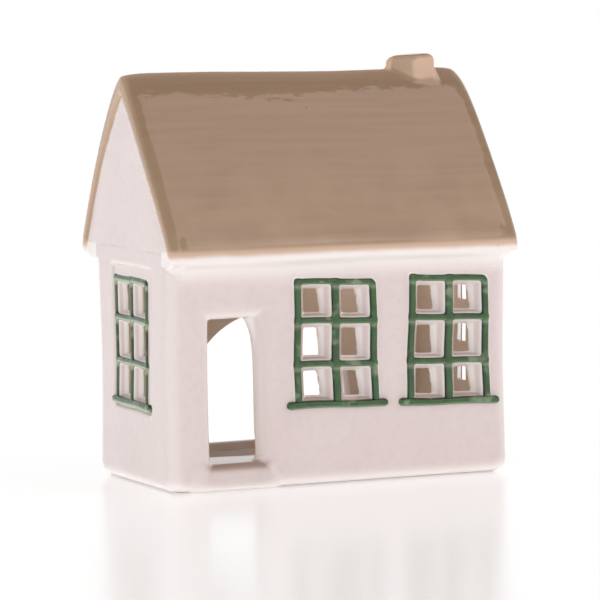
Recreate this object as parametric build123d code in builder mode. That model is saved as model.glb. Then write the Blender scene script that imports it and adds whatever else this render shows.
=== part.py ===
"""A small glazed ceramic house for a tealight, with a door, four barred windows and an open arch behind.

Lengths are in millimetres. +X runs along the ridge, -Y is the front and +Z is up. The origin is
under the middle of the house, on the surface that it stands on.
"""

import os
from math import atan, degrees, hypot

from build123d import *

os.makedirs("parts", exist_ok=True)

# Walls and floor
wall_length = 104.0
wall_depth = 59.0
wall_thickness = 3.4
wall_height = 61.5
corner_radius = 3.2
base_radius = 2.8
floor_thickness = 4.4

# Roof: two slightly convex slabs with deep moulded eaves, whose ridge lies behind the middle
roof_rise = 53.7
ridge_setback = 2.7
front_slab_bulge = 2.2
back_slab_bulge = 2.7
fascia_height = 4.5
eave_overhang = 5.2
verge_overhang = 1.3
roof_thickness = 4.5
roof_edge_radius = 1.5

# Chimney, a rounded block astride the ridge whose left end comes to a blunt point
chimney_verge_gap = 10.3
chimney_length = 13.8
chimney_depth = 9.0
chimney_point_length = 7.0
chimney_rise = 4.2
chimney_corner_radius = 1.8
chimney_top_radius = 1.6

# Door and the step below it
door_width = 16.5
door_sill_height = 7.0
door_height = 41.2
door_corner_radius = 1.2
door_edge_radius = 1.0
step_width = 23.5
step_depth = 2.0
step_nose_height = 5.0
step_foot_height = 0.8
step_edge_radius = 0.9

# Open arch in the back wall, and the sill that keeps the tealight in
arch_place = 1.5
arch_radius = 26.0
arch_spring_height = 18.2
arch_sill_height = 6.7

# Windows: two columns of three panes between green bars, over a sill
pane_width = 9.4
bottom_pane_height = 9.5
middle_pane_height = 10.4
top_pane_height = 9.2
mullion_width = 2.3
transom_width = 1.8
stile_width = 2.2
top_rail_width = 2.0
bar_height = 0.9
bar_edge_radius = 0.35
frame_corner_radius = 1.0
front_pane_flare = 1.9
sill_length = 30.0
sill_width = 2.1
sill_height = 1.5
sill_edge_radius = 0.6
front_left_window_head_gap = 3.5
front_right_window_head_gap = 4.3

# Gable windows, which lie in a shallow recess
gable_window_head_gap = 3.2
gable_pane_flare = 0.6
gable_bar_height = 0.6
recess_depth = 1.3
recess_width = 32.0
recess_margin = 2.2
recess_corner_radius = 2.0

# How the bare front wall is shared out, from the left: to the door, to a window and to the next window
front_gap_shares = (0.374, 0.338, 0.262)

# Tealight
tealight_x = 5.0
tealight_front_gap = 1.1
tealight_seat_gap = 0.1
cup_radius = 18.6
cup_height = 15.0
cup_wall = 0.4
cup_rim_width = 0.4
cup_rim_height = 0.8
wax_gap = 0.1
wax_height = 11.4
wax_edge_radius = 0.8
wick_radius = 0.7
wick_rise = 5.4
sustainer_radius = 6.0
sustainer_thickness = 0.4
sustainer_neck_radius = 1.5
sustainer_neck_height = 5.0

# How far a cutting shape runs past what it cuts
overrun = 2.0

# Sizes that follow from those above
half_length = wall_length / 2
half_depth = wall_depth / 2
inner_half_length = half_length - wall_thickness
inner_half_depth = half_depth - wall_thickness
eave_reach = half_depth + eave_overhang
verge_reach = half_length + verge_overhang
eave_height = wall_height + fascia_height
ridge_height = wall_height + roof_rise
roof_slope = (ridge_height - eave_height) / eave_reach
front_slope = (ridge_height - eave_height) / (eave_reach + ridge_setback)
back_slope = (ridge_height - eave_height) / (eave_reach - ridge_setback)
roof_drop = roof_thickness * hypot(1, roof_slope)
attic_ridge_height = ridge_height - roof_drop
attic_front_height = attic_ridge_height - front_slope * (inner_half_depth + ridge_setback)
attic_back_height = attic_ridge_height - back_slope * (inner_half_depth - ridge_setback)
front_ear = ridge_setback - (attic_ridge_height - wall_height) / front_slope
back_ear = ridge_setback + (attic_ridge_height - wall_height) / back_slope
pane_heights = (bottom_pane_height, middle_pane_height, top_pane_height)
lattice_width = 2 * (pane_width + stile_width) + mullion_width
lattice_height = sum(pane_heights) + 2 * transom_width + top_rail_width
gable_web = wall_thickness - recess_depth
half_doorway = door_width / 2 + door_edge_radius
bare_front = wall_length - 2 * (corner_radius + half_doorway + sill_length)
door_gap, window_gap, next_window_gap = (bare_front * share for share in front_gap_shares)
door_place = corner_radius + door_gap + half_doorway - half_length
front_left_window_place = door_place + half_doorway + window_gap + sill_length / 2
front_right_window_place = front_left_window_place + next_window_gap + sill_length
window_foot = wall_height - lattice_height
chimney_right = verge_reach - chimney_verge_gap
chimney_left = chimney_right - chimney_length
tealight_y = tealight_front_gap + cup_radius + cup_rim_width - inner_half_depth
tealight_base = floor_thickness + tealight_seat_gap

# Window planes lie on the face that carries the bars, from the middle of the sill's top edge, facing out
front_left_window = Plane(
    origin=(front_left_window_place, -half_depth, window_foot - front_left_window_head_gap),
    x_dir=(1, 0, 0),
    z_dir=(0, -1, 0),
)
front_right_window = Plane(
    origin=(front_right_window_place, -half_depth, window_foot - front_right_window_head_gap),
    x_dir=(1, 0, 0),
    z_dir=(0, -1, 0),
)
left_gable_window = Plane(
    origin=(recess_depth - half_length, 0, window_foot - gable_window_head_gap),
    x_dir=(0, -1, 0),
    z_dir=(-1, 0, 0),
)
right_gable_window = Plane(
    origin=(half_length - recess_depth, 0, window_foot - gable_window_head_gap),
    x_dir=(0, 1, 0),
    z_dir=(1, 0, 0),
)


def pane_places():
    """The middle and the height of each pane on a window plane."""
    places = []
    low = 0
    for height in pane_heights:
        for side in (-1, 1):
            places.append((side * (mullion_width + pane_width) / 2, low + height / 2, height))
        low += height + transom_width
    return places


def pane_sketch(plane):
    """The six panes of the window on a plane."""
    with BuildSketch(plane) as panes:
        for x, y, height in pane_places():
            with Locations((x, y)):
                Rectangle(pane_width, height)
    return panes.sketch


def recess_sketch(plane):
    """The round-cornered panel that a gable window lies in."""
    top = lattice_height + recess_margin
    bottom = -sill_width - recess_margin
    with BuildSketch(plane) as recess:
        with Locations((0, (top + bottom) / 2)):
            RectangleRounded(recess_width, top - bottom, recess_corner_radius)
    return recess.sketch


def bar_sketch(plane):
    """One window's stiles, mullion, transoms and top rail."""
    with BuildSketch(plane) as bars:
        with Locations((0, lattice_height / 2)):
            Rectangle(lattice_width, lattice_height)
        fillet(bars.vertices().group_by(SortBy.DISTANCE)[-1], frame_corner_radius)
        for x, y, height in pane_places():
            with Locations((x, y)):
                Rectangle(pane_width, height, mode=Mode.SUBTRACT)
    return bars.sketch


def sill_sketch(plane):
    """One window's round-ended sill."""
    with BuildSketch(plane) as sill:
        with Locations((0, -sill_width / 2)):
            SlotOverall(sill_length, sill_width)
    return sill.sketch


def narrowing(flare, depth):
    """The taper, in degrees, of a pane that narrows by flare on each side over a depth."""
    return degrees(atan(flare / depth))


# Floor slab, inside the four walls
with BuildPart() as floor_slab:
    with BuildSketch():
        Rectangle(2 * inner_half_length, 2 * inner_half_depth)
    extrude(amount=floor_thickness)

# Front wall, with rounded outer corners, the door and two windows
with BuildPart() as front_wall:
    with Locations((0, -half_depth, 0)):
        Box(wall_length, wall_thickness, wall_height, align=(Align.CENTER, Align.MIN, Align.MIN))
    fillet(edges().filter_by(Axis.Z).group_by(Axis.Y)[0], corner_radius)
    foot_edges = faces().sort_by(Axis.Z)[0].edges()
    fillet(foot_edges.filter_by(lambda edge: edge.center().Y < -inner_half_depth), base_radius)
    with BuildSketch(Plane.XZ.offset(half_depth)) as door_outline:
        with Locations((door_place, door_sill_height + door_height / 2)):
            Rectangle(door_width, door_height)
        fillet(door_outline.vertices().group_by(Axis.Y)[-1], door_corner_radius)
    extrude(amount=-wall_thickness, mode=Mode.SUBTRACT)
    door_edges = faces().sort_by(Axis.Y)[0].inner_wires()[0].edges()
    fillet(door_edges, door_edge_radius)
    for window in (front_left_window, front_right_window):
        taper = narrowing(front_pane_flare, wall_thickness)
        extrude(pane_sketch(window), amount=-wall_thickness, taper=taper, mode=Mode.SUBTRACT)

# Back wall, with rounded outer corners and the open arch
with BuildPart() as back_wall:
    with Locations((0, half_depth, 0)):
        Box(wall_length, wall_thickness, wall_height, align=(Align.CENTER, Align.MAX, Align.MIN))
    fillet(edges().filter_by(Axis.Z).group_by(Axis.Y)[-1], corner_radius)
    foot_edges = faces().sort_by(Axis.Z)[0].edges()
    fillet(foot_edges.filter_by(lambda edge: edge.center().Y > inner_half_depth), base_radius)
    with BuildSketch(Plane.XZ.offset(-inner_half_depth)):
        with BuildLine():
            jambs = Polyline(
                (arch_place - arch_radius, arch_spring_height),
                (arch_place - arch_radius, arch_sill_height),
                (arch_place + arch_radius, arch_sill_height),
                (arch_place + arch_radius, arch_spring_height),
            )
            ThreePointArc(jambs @ 1, (arch_place, arch_spring_height + arch_radius), jambs @ 0)
        make_face()
    extrude(amount=-wall_thickness, mode=Mode.SUBTRACT)
    fillet(faces().sort_by(Axis.Y)[-1].inner_wires()[0].edges(), door_edge_radius)

# The gables stand between the front and back walls, and widen under the roof slabs into two ears
gable_outline = [
    (-inner_half_depth, 0),
    (inner_half_depth, 0),
    (inner_half_depth, wall_height),
    (back_ear, wall_height),
    (ridge_setback, attic_ridge_height),
    (front_ear, wall_height),
    (-inner_half_depth, wall_height),
]

with BuildPart() as left_gable:
    with BuildSketch(Plane.YZ.offset(-half_length)):
        Polygon(*gable_outline, align=None)
    extrude(amount=wall_thickness)
    fillet(edges().filter_by(Axis.Y).group_by(Axis.Z)[0].sort_by(Axis.X)[0], base_radius)
    extrude(recess_sketch(left_gable_window), amount=recess_depth, mode=Mode.SUBTRACT)
    taper = narrowing(gable_pane_flare, gable_web)
    extrude(pane_sketch(left_gable_window), amount=-gable_web, taper=taper, mode=Mode.SUBTRACT)

with BuildPart() as right_gable:
    with BuildSketch(Plane.YZ.offset(inner_half_length)):
        Polygon(*gable_outline, align=None)
    extrude(amount=wall_thickness)
    fillet(edges().filter_by(Axis.Y).group_by(Axis.Z)[0].sort_by(Axis.X)[-1], base_radius)
    extrude(recess_sketch(right_gable_window), amount=recess_depth, mode=Mode.SUBTRACT)
    taper = narrowing(gable_pane_flare, gable_web)
    extrude(pane_sketch(right_gable_window), amount=-gable_web, taper=taper, mode=Mode.SUBTRACT)

# Outer form of the roof, filled, with rounded ridge, verges and eaves
with BuildPart() as roof_form:
    with BuildSketch(Plane.YZ):
        with BuildLine():
            eaves = Polyline(
                (-eave_reach, eave_height),
                (-eave_reach, wall_height),
                (eave_reach, wall_height),
                (eave_reach, eave_height),
            )
            SagittaArc((ridge_setback, ridge_height), eaves @ 1, back_slab_bulge)
            SagittaArc(eaves @ 0, (ridge_setback, ridge_height), front_slab_bulge)
        make_face()
    extrude(amount=verge_reach, both=True)
    soffit_ends = faces().sort_by(Axis.Z)[0].edges().filter_by(Axis.Y)
    fillet([edge for edge in edges() if edge not in soffit_ends], roof_edge_radius)

# Both slabs in one: the form less the attic between the gables and the pockets that take the gables
with BuildPart() as roof_shell:
    add(roof_form.part)
    with BuildSketch(Plane.YZ):
        Polygon(
            (-inner_half_depth, wall_height),
            (inner_half_depth, wall_height),
            (inner_half_depth, attic_back_height),
            (ridge_setback, attic_ridge_height),
            (-inner_half_depth, attic_front_height),
            align=None,
        )
    extrude(amount=verge_reach + overrun, both=True, mode=Mode.SUBTRACT)
    for end in (-1, 1):
        with BuildSketch(Plane.YZ.offset(end * inner_half_length)):
            Polygon(
                (front_ear, wall_height),
                (back_ear, wall_height),
                (ridge_setback, attic_ridge_height),
                align=None,
            )
        extrude(amount=end * (wall_thickness + verge_overhang + overrun), mode=Mode.SUBTRACT)

# The slabs meet plumb along the ridge
ridge_plane = Plane.XZ.offset(-ridge_setback)

with BuildPart() as roof_front_slab:
    add(roof_shell.part)
    split(bisect_by=ridge_plane, keep=Keep.TOP)

with BuildPart() as roof_back_slab:
    add(roof_shell.part)
    split(bisect_by=ridge_plane, keep=Keep.BOTTOM)

# Chimney, cut to sit astride the ridge
with BuildPart() as chimney:
    with BuildSketch(Plane.XY.offset(ridge_height - roof_slope * chimney_depth)) as chimney_plan:
        with Locations((0, ridge_setback)):
            Polygon(
                (chimney_left, 0),
                (chimney_left + chimney_point_length, -chimney_depth / 2),
                (chimney_right, -chimney_depth / 2),
                (chimney_right, chimney_depth / 2),
                (chimney_left + chimney_point_length, chimney_depth / 2),
                align=None,
            )
        fillet(chimney_plan.vertices(), chimney_corner_radius)
    extrude(amount=roof_slope * chimney_depth + chimney_rise)
    fillet(faces().sort_by(Axis.Z)[-1].edges(), chimney_top_radius)
    add(roof_form.part, mode=Mode.SUBTRACT)

# Doorstep, a low ledge with a sloping top, bedded on the wall below the door
with BuildPart() as doorstep:
    with BuildSketch(Plane.YZ.offset(door_place)):
        Polygon(
            (-half_depth, door_sill_height),
            (-half_depth - step_depth, step_nose_height),
            (-half_depth - step_depth, step_foot_height),
            (-inner_half_depth, step_foot_height),
            (-inner_half_depth, door_sill_height),
            align=None,
        )
    extrude(amount=step_width / 2, both=True)
    fillet(edges().group_by(Axis.Y)[0], step_edge_radius)
    add(front_wall.part, mode=Mode.SUBTRACT)

# Window bars and sills, each with a softened front edge
pieces = {}
for name, plane, height in (
    ("front_left_window", front_left_window, bar_height),
    ("front_right_window", front_right_window, bar_height),
    ("left_gable_window", left_gable_window, gable_bar_height),
    ("right_gable_window", right_gable_window, gable_bar_height),
):
    outwards = Axis(plane.origin, plane.z_dir)
    with BuildPart() as bars:
        extrude(bar_sketch(plane), amount=height)
        fillet(faces().sort_by(outwards)[-1].edges(), bar_edge_radius)
    with BuildPart() as sill:
        extrude(sill_sketch(plane), amount=sill_height)
        fillet(faces().sort_by(outwards)[-1].edges(), sill_edge_radius)
    pieces[f"{name}_bars"] = bars
    pieces[f"{name}_sill"] = sill

# Tealight: a pressed cup with a rolled rim, wax, a wick and the tinplate foot that holds it up
tealight_plane = Plane((tealight_x, tealight_y, tealight_base))

with BuildPart() as tealight_cup:
    with BuildSketch(tealight_plane):
        Circle(cup_radius)
    extrude(amount=cup_height)
    with BuildSketch(tealight_plane.offset(cup_height - cup_rim_height)):
        Circle(cup_radius + cup_rim_width)
    extrude(amount=cup_rim_height)
    with BuildSketch(tealight_plane.offset(cup_wall)):
        Circle(cup_radius - cup_wall)
    extrude(amount=cup_height, mode=Mode.SUBTRACT)

with BuildPart() as wick_sustainer:
    with BuildSketch(tealight_plane.offset(cup_wall)):
        Circle(sustainer_radius)
    extrude(amount=sustainer_thickness)
    with BuildSketch(tealight_plane.offset(cup_wall)):
        Circle(sustainer_neck_radius)
    extrude(amount=sustainer_neck_height)
    with BuildSketch(tealight_plane.offset(cup_wall)):
        Circle(wick_radius)
    extrude(amount=sustainer_neck_height, mode=Mode.SUBTRACT)

with BuildPart() as wick:
    with BuildSketch(tealight_plane.offset(cup_wall)):
        Circle(wick_radius)
    extrude(amount=wax_height + wick_rise)

with BuildPart() as tealight_wax:
    with BuildSketch(tealight_plane.offset(cup_wall)):
        Circle(cup_radius - cup_wall - wax_gap)
    extrude(amount=wax_height)
    fillet(edges().sort_by(Axis.Z)[-1], wax_edge_radius)
    add(wick_sustainer.part, mode=Mode.SUBTRACT)
    add(wick.part, mode=Mode.SUBTRACT)

pieces |= {
    "floor_slab": floor_slab,
    "front_wall": front_wall,
    "back_wall": back_wall,
    "left_gable": left_gable,
    "right_gable": right_gable,
    "roof_front_slab": roof_front_slab,
    "roof_back_slab": roof_back_slab,
    "chimney": chimney,
    "doorstep": doorstep,
    "tealight_cup": tealight_cup,
    "wick_sustainer": wick_sustainer,
    "wick": wick,
    "tealight_wax": tealight_wax,
}
for name, piece in pieces.items():
    piece.part.label = name
    export_step(piece.part, f"parts/{name}.step")
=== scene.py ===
import math

import bpy
import numpy as np
from mathutils import Matrix, Vector


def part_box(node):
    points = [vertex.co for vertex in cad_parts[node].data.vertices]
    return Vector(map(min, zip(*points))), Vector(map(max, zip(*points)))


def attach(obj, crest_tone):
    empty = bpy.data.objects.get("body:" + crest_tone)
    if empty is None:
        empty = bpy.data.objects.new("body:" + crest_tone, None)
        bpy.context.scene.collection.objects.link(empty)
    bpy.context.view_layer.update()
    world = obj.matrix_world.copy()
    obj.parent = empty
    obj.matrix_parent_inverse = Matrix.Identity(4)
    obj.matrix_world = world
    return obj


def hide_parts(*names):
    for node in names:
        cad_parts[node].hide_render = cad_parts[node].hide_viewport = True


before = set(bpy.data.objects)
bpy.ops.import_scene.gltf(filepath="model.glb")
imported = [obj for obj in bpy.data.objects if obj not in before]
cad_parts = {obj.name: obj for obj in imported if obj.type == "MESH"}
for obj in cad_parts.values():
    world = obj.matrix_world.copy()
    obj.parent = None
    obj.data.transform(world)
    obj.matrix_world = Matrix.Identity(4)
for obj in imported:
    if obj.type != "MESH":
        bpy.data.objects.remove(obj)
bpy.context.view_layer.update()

# Looks of the tealight house: cast and glazed ceramic, brushed-on green bars and a tealight.
# Metres, in the frame of the part: +X along the ridge, -Y the front, +Z up. The ceramic is one soft form,
# written as a field that is negative inside it, and each of its pieces is what lies of it in its own zone.

# Sizes that the frame gives
wall_low, wall_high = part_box("front_wall")
gable_low, gable_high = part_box("left_gable")
roof_low, roof_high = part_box("roof_front_slab")
chimney_low, chimney_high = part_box("chimney")
step_low, step_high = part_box("doorstep")
cup_low, cup_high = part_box("tealight_cup")
wax_low, wax_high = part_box("tealight_wax")
wick_low, wick_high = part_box("wick")
HALF_LENGTH = wall_high.x
HALF_DEPTH = -wall_low.y
INNER_LENGTH = -gable_high.x
INNER_DEPTH = -wall_high.y
WALL_THICKNESS = HALF_DEPTH - INNER_DEPTH
SOFFIT = wall_high.z
ATTIC_RIDGE = gable_high.z
SLOPE = 2 * (ATTIC_RIDGE - SOFFIT) / (gable_high.y - gable_low.y)
ACROSS = math.hypot(1, SLOPE)

# How soft the cast form is: the reach of each rounded edge or hollow
CORNER_BLEND = 0.0043
BACK_CORNER_BLEND = 0.0090
FOOT_BLEND = 0.0040
EDGE_BLEND = 0.0015
COVE_BLEND = 0.0064
COVE_END_SHARE = 0.03
RIM_BLEND = 0.0017
INNER_RIM = 0.0006
PANE_BLEND = 0.0007
PANE_CORNER = 0.0006
RECESS_BLEND = 0.0016

# Roof slabs, which bulge a little, fall away along the ridge and the verges, and lean back
ROOF_THICKNESS = 0.0045
RIDGE_SOFTNESS = 0.0006
CROWN_DROP = 0.00045
CROWN_WIDTH = 0.0090
RIDGE = ATTIC_RIDGE + ROOF_THICKNESS * ACROSS
RIDGE_LIFT = 0.0008
RIDGE_SETBACK = roof_high.y
FASCIA_HEIGHT = 0.0045
EAVE_TOP = SOFFIT + FASCIA_HEIGHT
FRONT_BULGE = 0.0022
BACK_BULGE = 0.0027
SOFFIT_RISE = 0.0022
VERGE_DEPTH = 0.0038
VERGE_BLEND = 0.0010
VERGE_HOLLOW = 0.0014
VERGE_CROWN_FALL = 0.6
RIDGE_END_BLEND = 0.0030
RIDGE_END_POWER = 6

# Slow waves of a hand-finished cast
WAVE_HEIGHT = 0.00022
WAVE_LENGTH = 0.0110
WAVE_SLANTS = (0.7, -0.6, 0.8)
WAVE_STARTS = (0.4, 1.9, 0.9)
VERGE = roof_high.x - WAVE_HEIGHT
BOX_SPARE = 0.0001
EAVE = -roof_low.y - WAVE_HEIGHT - BOX_SPARE

# Doorway, whose right jamb thickens towards the head on the inside
DOOR_LEFT = -0.0396
DOOR_RIGHT = -0.0243
DOOR_TAPER = 0.0014
DOOR_SILL = 0.0070
DOOR_HEAD = 0.0477
DOOR_CORNER = 0.0010
DOOR_LEAN = 0.0034
DOOR_LEAN_HEIGHT = 0.0040
DOOR_BLEND = 0.0040
STEP_NOSE = 0.0040
STEP_BLEND = 0.0016
STEP_END_BLEND = 0.0036
STEP_JOIN = 0.0026

# Arch in the back wall
ARCH_PLACE = 0.0015
ARCH_RADIUS = 0.0260
ARCH_SPRING = 0.0182
ARCH_SILL = 0.0067
ARCH_TAPER = 0.0016

# Chimney
CHIMNEY_POINT = 0.0068
CHIMNEY_TIP = 0.0012
CHIMNEY_SETTLE = 0.0006
CHIMNEY_BLEND = 0.0024
CHIMNEY_CORNER = 0.0008
CHIMNEY_CREASE = 0.0008
CHIMNEY_FLARE = 0.0026

# Window lattice
PANE_WIDTH = 0.0094
PANE_ROWS = ((0.0, 0.0095), (0.0113, 0.0104), (0.0235, 0.0092))
MULLION = 0.0023
TRANSOM = 0.0018
STILE = 0.0022
TOP_RAIL = 0.0020
LATTICE_WIDTH = 2 * (PANE_WIDTH + STILE) + MULLION
LATTICE_HEIGHT = PANE_ROWS[-1][0] + PANE_ROWS[-1][1] + TOP_RAIL
FLARE_LEFT = 0.0022
FLARE_RIGHT = 0.0027
FLARE_LEAN = 0.0012
FLARE_TOP = 0.0015
FLARE_BOTTOM = 0.0014
RECESS_DEPTH = 0.0007
RECESS_BACK = 0.0130
RECESS_FRONT = 0.0160
RECESS_ABOVE = 0.0027
RECESS_TOP = LATTICE_HEIGHT + RECESS_ABOVE
RECESS_BOTTOM = -0.0024
SILL_RADIUS = 0.00105
FRAME_CORNER = 0.0030
# Painted sheen on the bars: how soon it fades in
SHEEN_FADE = 0.25
THIN_REACH = 0.0013
THIN_GAP = 0.0005
PANE_OVERRUN_SHARE = 0.3
BRUSH_WAVE = 0.00011
BRUSH_LENGTH = 0.0034
BAR_BED = 0.0006
BEAD_POWER = 2.3
SILL_SWELL = 0.12
HALO_WIDTH = 0.0005
FRONT_LEFT_CORNERS = ((-0.0145, 0.0236), (0.0113, 0.0229), (0.0108, 0.0569), (-0.0144, 0.0580))
FRONT_RIGHT_CORNERS = ((0.0197, 0.0227), (0.0463, 0.0223), (0.0457, 0.0570), (0.0208, 0.0579))

# Bars: height, how much slimmer the upright ones are, how strong their painted pale sheen and thin paint
# are, and the facing below which the sheen sets in
FRONT_BARS = (0.0009, 0, 0.5, -0.3)
GABLE_BARS = (0.0006, 0.0004, 1.0, 0.05)

# Tealight: a fluted cup with a rolled rim, wax that climbs at the cup and the wick, and a twisted wick
ROUND_SIDES = 144
CUP_FLUTES = 36
CUP_FLUTE_DEPTH = 0.00022
CUP_FLUTE_FOOT = 0.0030
CUP_FLUTE_TOP = 0.0026
CUP_WALL = 0.0003
CUP_CORE = 0.0002
CUP_BASE_INSET = 0.0016
CUP_HEEL_INSET = 0.0006
CUP_HEEL_RISE = 0.0003
CUP_SIDE_FOOT = 0.0012
CUP_SHOULDER = 0.0012
CUP_RIM = 0.0004
CUP_RIM_DROP = 0.0008
CUP_RIM_ROUND = 0.0003
CUP_LIP = 0.0001
CUP_LIP_DROP = 0.0006
WAX_STOPS = 13
WAX_EDGE = 0.0002
WAX_LIP = 0.0001
WAX_MENISCUS = 0.0006
WAX_MENISCUS_RATE = 9
WAX_DISH = 0.0004
WAX_WICK_RISE = 0.0003
WAX_WICK_RATE = 12
WAX_FOOT_GAP = 0.0002
WAX_HOLLOW_SIDE = 0.0010
WAX_HOLLOW_SHOULDER = 0.0058
WAX_HOLLOW_TOP = 0.0060
WAX_HOLLOW_SHARE = 0.4
WICK_STRANDS = 3
WICK_TURNS = 2.5
WICK_ROWS = 60
WICK_SIDES = 12
WICK_GAP = 0.00005
WICK_INSET = 0.0001
STRAND_SHARE = 0.46
FRAY_SHARE = 0.25
FRAY_POWER = 8

# Zones of the pieces: seams keep clear of the faces that they would run along
SEAM_SHIFT = 0.0012
SEAM_REACH = 0.0008
SEAM_SLOPE = 0.0004
SEAM_SINK = 0.00005
SEAM_DEPTH = INNER_DEPTH - SEAM_SHIFT
SEAM_DROP = 0.0026
SEAM_HEIGHT = SOFFIT - SEAM_DROP
VENEER = 0.0012
LEAST_GAIN = 0.00003
GAIN_SHARE = 40

FINENESS = 1.0
WALL_STEP = 0.00042 * FINENESS
ROOF_STEP = 0.00080 * FINENESS
SMALL_STEP = 0.00030 * FINENESS
SNAP_SHARE = 0.9
SLOPE_REACH = 0.00012
RELIEF_REACH = 0.0013
SNAP_ROUNDS = 3
LEAST_RATE = 0.2
LEAST_LENGTH = 1e-9
BOX_MARGIN = 3 * ROOF_STEP

# Colours
WHITE = (0.735, 0.633, 0.617, 1)
WHITE_CLOUD = (0.715, 0.611, 0.595, 1)
# Random mottle, and painted shade on what faces up
WHITE_MOTTLE_AND_SHADE = (0.400, 0.285, 0.240, 1)
# Painted shade deep in the openings, towards the room
WHITE_REVEAL_SHADE = (0.600, 0.455, 0.410, 1)
# Paler where the glaze runs thin, and a painted highlight on what faces down and on the fascia
WHITE_THIN_AND_HIGHLIGHT = (0.870, 0.805, 0.780, 1)
WHITE_PIT = (0.420, 0.320, 0.270, 1)
INSIDE_LIGHT = (0.850, 0.715, 0.600, 1)
INSIDE_DARK = (0.810, 0.670, 0.555, 1)
BROWN_LIGHT = (0.370, 0.248, 0.156, 1)
BROWN_DARK = (0.346, 0.230, 0.143, 1)
BROWN_LOW = (0.412, 0.285, 0.185, 1)
BROWN_THIN = (0.660, 0.450, 0.320, 1)
BROWN_PIT = (0.160, 0.095, 0.060, 1)
GREEN_MAIN = (0.034, 0.110, 0.026, 1)
GREEN_DARK = (0.010, 0.034, 0.010, 1)
# Pale in thin spots and at the crossings, and a painted sheen on faces that turn down or aside
GREEN_THIN_AND_SHEEN = (0.300, 0.370, 0.235, 1)
FOIL_LIGHT = (0.88, 0.88, 0.87, 1)
FOIL_DARK = (0.76, 0.76, 0.75, 1)
TIN_LIGHT = (0.62, 0.62, 0.60, 1)
TIN_DARK = (0.50, 0.50, 0.48, 1)
WAX_LIGHT = (0.90, 0.88, 0.82, 1)
WAX_DARK = (0.84, 0.82, 0.75, 1)
COTTON_LIGHT = (0.86, 0.83, 0.74, 1)
COTTON_DARK = (0.70, 0.66, 0.56, 1)
PURE_WHITE = (1, 1, 1, 1)

# Where painted shade and painted highlights fall, and where glazes thin and end: heights, lengths and
# shares
# Painted shade on what faces up: its weight on most faces, the height up to which it is full on the front
# wall, and how soon it is full on a joined form
TOP_SHADE_SHARE = 0.50
TOP_SHADE_RISE = 0.0050
TOP_SHADE_HEIGHT = DOOR_SILL + TOP_SHADE_RISE
TOP_SHADE_FADE = 0.0009
MOTTLE_SHARE = 0.07
CHIMNEY_SHARE = 0.34
SIDE_SHARE = 0.22
RUN_SHARE = 0.12
BROWN_WANDER = 0.8
BROWN_START = -0.5
BROWN_SOFT = 0.5
BROWN_FOOT = 0.0652
BROWN_STRAY = 0.0010
BROWN_FADE = 0.0009
BROWN_LOW_HEIGHTS = (0.105, 0.066)
EAVE_RISE = 0.0016
EAVE_RUN = EAVE_TOP + EAVE_RISE
FASCIA_RISE = 0.0004
FASCIA_FOOT = SOFFIT + FASCIA_RISE
FASCIA_FADE = 0.0010
STROKE_SHARE = 0.55
SPOT_SHARE = 0.55

# Levels of a mesh attribute, a direction or a random choice between which something sets in
REVEAL_SHADE_LEVELS = (0.10, 1.00)
UNDERSIDE_HIGHLIGHT_LEVELS = (-0.10, -0.75)
TOP_SHADE_LEVELS = (0.25, 0.75)
WHITE_EDGE_LEVELS = (0.12, 0.60)
BROWN_EDGE_LEVELS = (0.14, 0.55)
HALO_LEVELS = (0.05, 1.10)
RUN_LEVELS = (-0.82, -0.93)
SIDE_LEVELS = (0.70, 0.97)
CREST_LEVELS = (0.05, 0.60)
PIT_LEVELS = (0.80, 0.86)

# Random patterns: scale and detail, and for patches the levels between which they set in
WHITE_CLOUDS = (55, 3, 0.35, 0.68)
MOTTLE = (520, 3, 0.40, 0.75)
STREAKS = (420, 4, 0.35, 0.65)
STREAK_STRETCH = (0.06, 1, 1)
BROWN_CLOUDS = (70, 3, 0.30, 0.70)
RUN_GRAIN = (330, 3)
RUN_STRETCH = (1, 1, 0.15)
STRAY_GRAIN = (90, 3)
INSIDE_CLOUDS = (80, 4, 0.3, 0.7)
INSIDE_GRAIN = (400, 4)
FLOOR_GRAIN = (240, 2)
FLOOR_STRETCH = (0.2, 1, 1)
STROKES = (260, 3, 0.30, 0.60)
SPOTS = (170, 2, 0.56, 0.70)
BRUSH_GRAIN = (420, 3)
SLOW_RIPPLE = (95, 2)
QUICK_RIPPLE = (210, 3)
FINE_GRAIN = (900, 2)
GLOSS = (240, 2, 0.3, 0.7)
GREEN_GLOSS = (300, 2, 0.3, 0.7)
FOIL_TINT = (300, 3)
FOIL_GLOSS = (500, 3, 0.3, 0.7)
FOIL_GRAIN = (650, 3)
TIN_TINT = (900, 3)
TIN_GLOSS = (1200, 2, 0.3, 0.7)
WAX_TINT = (160, 3)
WAX_GLOSS = (200, 2, 0.3, 0.7)
WAX_GRAIN = (350, 3)
COTTON_TINT = (2500, 3)
COTTON_GRAIN = (4000, 2)
COTTON_STRETCH = (1, 1, 0.3)

# Pinholes: how densely they are strewn, and their size in that pattern
WHITE_PITS = (130, 0.035)
BROWN_PITS = (170, 0.05)
INSIDE_PITS = (300, 0.08)

# Depth of ripples and grain, and roughness
WHITE_RIPPLES = (0.00012, 0.00003)
ROOF_RIPPLES = (0.00012, 0.00006)
FINE_FALL = 60
INSIDE_DEPTH = 0.00008
FLOOR_DEPTH = 0.00001
BRUSH_DEPTH = 0.00012
FOIL_DEPTH = 0.00004
WAX_DEPTH = 0.00006
COTTON_DEPTH = 0.00005
WHITE_ROUGH = 0.10
ROOF_ROUGH = 0.035
GLOSS_RATIO = 3
INSIDE_ROUGH = 0.35
FLOOR_ROUGH = (0.02, 0.05)
GREEN_ROUGH = (0.05, 0.14)
FOIL_ROUGH = (0.16, 0.32)
TIN_ROUGH = (0.25, 0.45)
WAX_ROUGH = (0.28, 0.42)
COTTON_ROUGH = 0.85
TABLE_ROUGH = 0.2
WAX_CLEAR_SHARE = 0.35
WAX_CLEAR_DEPTH = 0.002

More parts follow.
